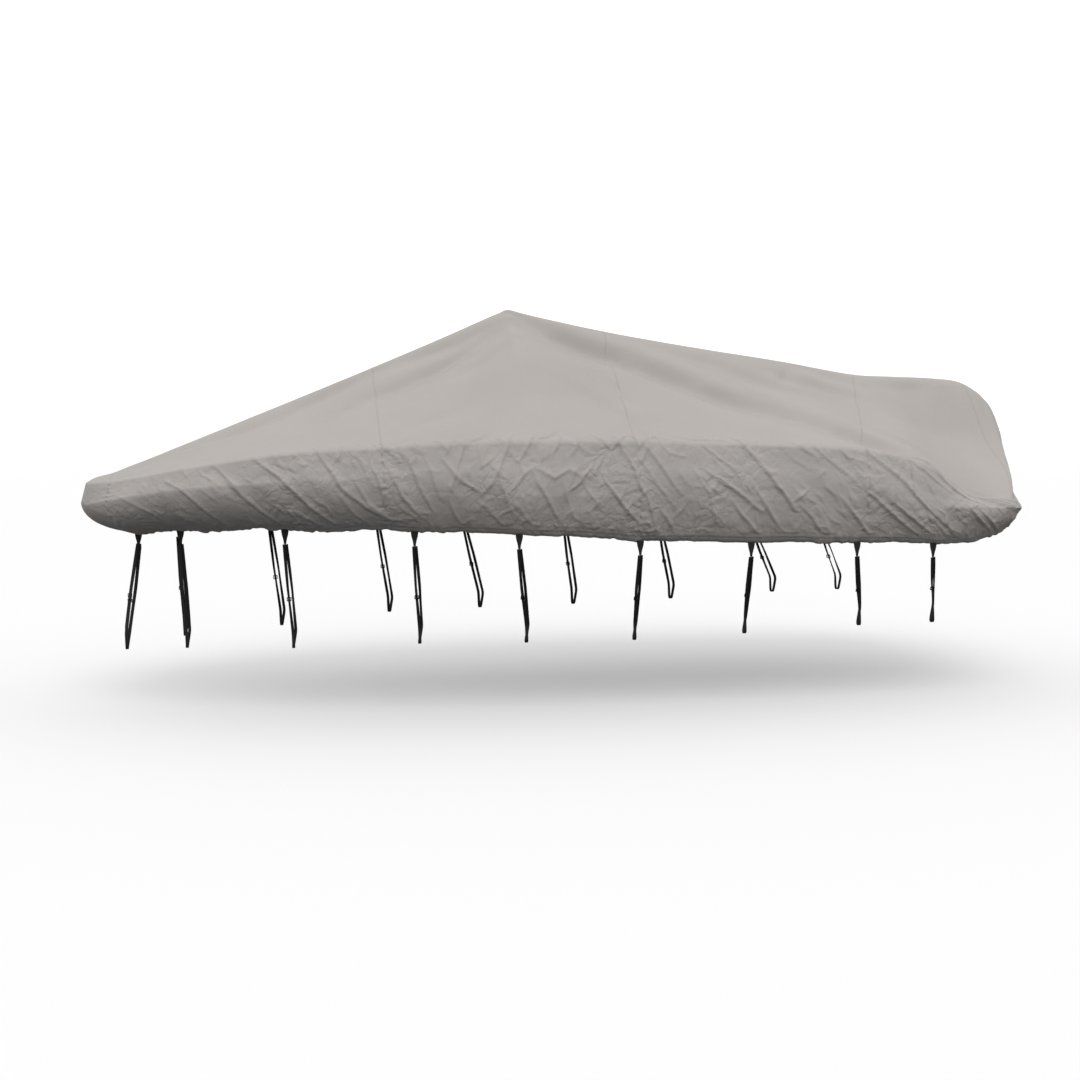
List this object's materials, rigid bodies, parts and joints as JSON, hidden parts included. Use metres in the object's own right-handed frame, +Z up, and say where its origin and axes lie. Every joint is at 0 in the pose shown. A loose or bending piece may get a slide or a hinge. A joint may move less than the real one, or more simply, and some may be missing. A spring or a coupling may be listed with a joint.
{
  "type": "boat cover",
  "caption": "Fitted trailerable boat cover: cloth panels sewn crosswise into a peaked hollow shell with a motor hood, a turned-in skirt and webbing tie-down straps.",
  "frame": {"origin": "underside of the cloth at the cover's peak, where the support inside the boat pushes it up", "axes": "+X to the stern, -Y to the side seen, +Z up"},
  "size_m": [6.5456, 2.4694, 2.2513],
  "materials": {
    "cover_cloth": "light grey coated polyester canvas, plain weave, low sheen",
    "webbing": "black woven polypropylene webbing",
    "buckle_plastic": "black moulded acetal, satin"
  },
  "bodies": {
    "root": {"nose_cap": "cover_cloth", "fore_panel": "cover_cloth", "mid_panel": "cover_cloth", "aft_panel": "cover_cloth", "stern_panel": "cover_cloth", "transom_panel": "cover_cloth", "tab_near_1": "webbing", "strap_near_1": "webbing", "buckle_near_1": "buckle_plastic", "tab_near_2": "webbing", "strap_near_2": "webbing", "buckle_near_2": "buckle_plastic", "tab_near_3": "webbing", "strap_near_3": "webbing", "buckle_near_3": "buckle_plastic", "tab_near_4": "webbing", "strap_near_4": "webbing", "buckle_near_4": "buckle_plastic", "tab_near_5": "webbing", "strap_near_5": "webbing", "buckle_near_5": "buckle_plastic", "tab_near_6": "webbing", "strap_near_6": "webbing", "buckle_near_6": "buckle_plastic", "tab_near_7": "webbing", "strap_near_7": "webbing", "buckle_near_7": "buckle_plastic", "tab_near_8": "webbing", "strap_near_8": "webbing", "buckle_near_8": "buckle_plastic", "tab_near_9": "webbing", "strap_near_9": "webbing", "buckle_near_9": "buckle_plastic", "tab_far_1": "webbing", "strap_far_1": "webbing", "buckle_far_1": "buckle_plastic", "tab_far_2": "webbing", "strap_far_2": "webbing", "buckle_far_2": "buckle_plastic", "tab_far_3": "webbing", "strap_far_3": "webbing", "buckle_far_3": "buckle_plastic", "tab_far_4": "webbing", "strap_far_4": "webbing", "buckle_far_4": "buckle_plastic", "tab_far_5": "webbing", "strap_far_5": "webbing", "buckle_far_5": "buckle_plastic", "tab_far_6": "webbing", "strap_far_6": "webbing", "buckle_far_6": "buckle_plastic", "tab_far_7": "webbing", "strap_far_7": "webbing", "buckle_far_7": "buckle_plastic", "tab_far_8": "webbing", "strap_far_8": "webbing", "buckle_far_8": "buckle_plastic", "tab_far_9": "webbing", "strap_far_9": "webbing", "buckle_far_9": "buckle_plastic"}
  },
  "joints": []
}
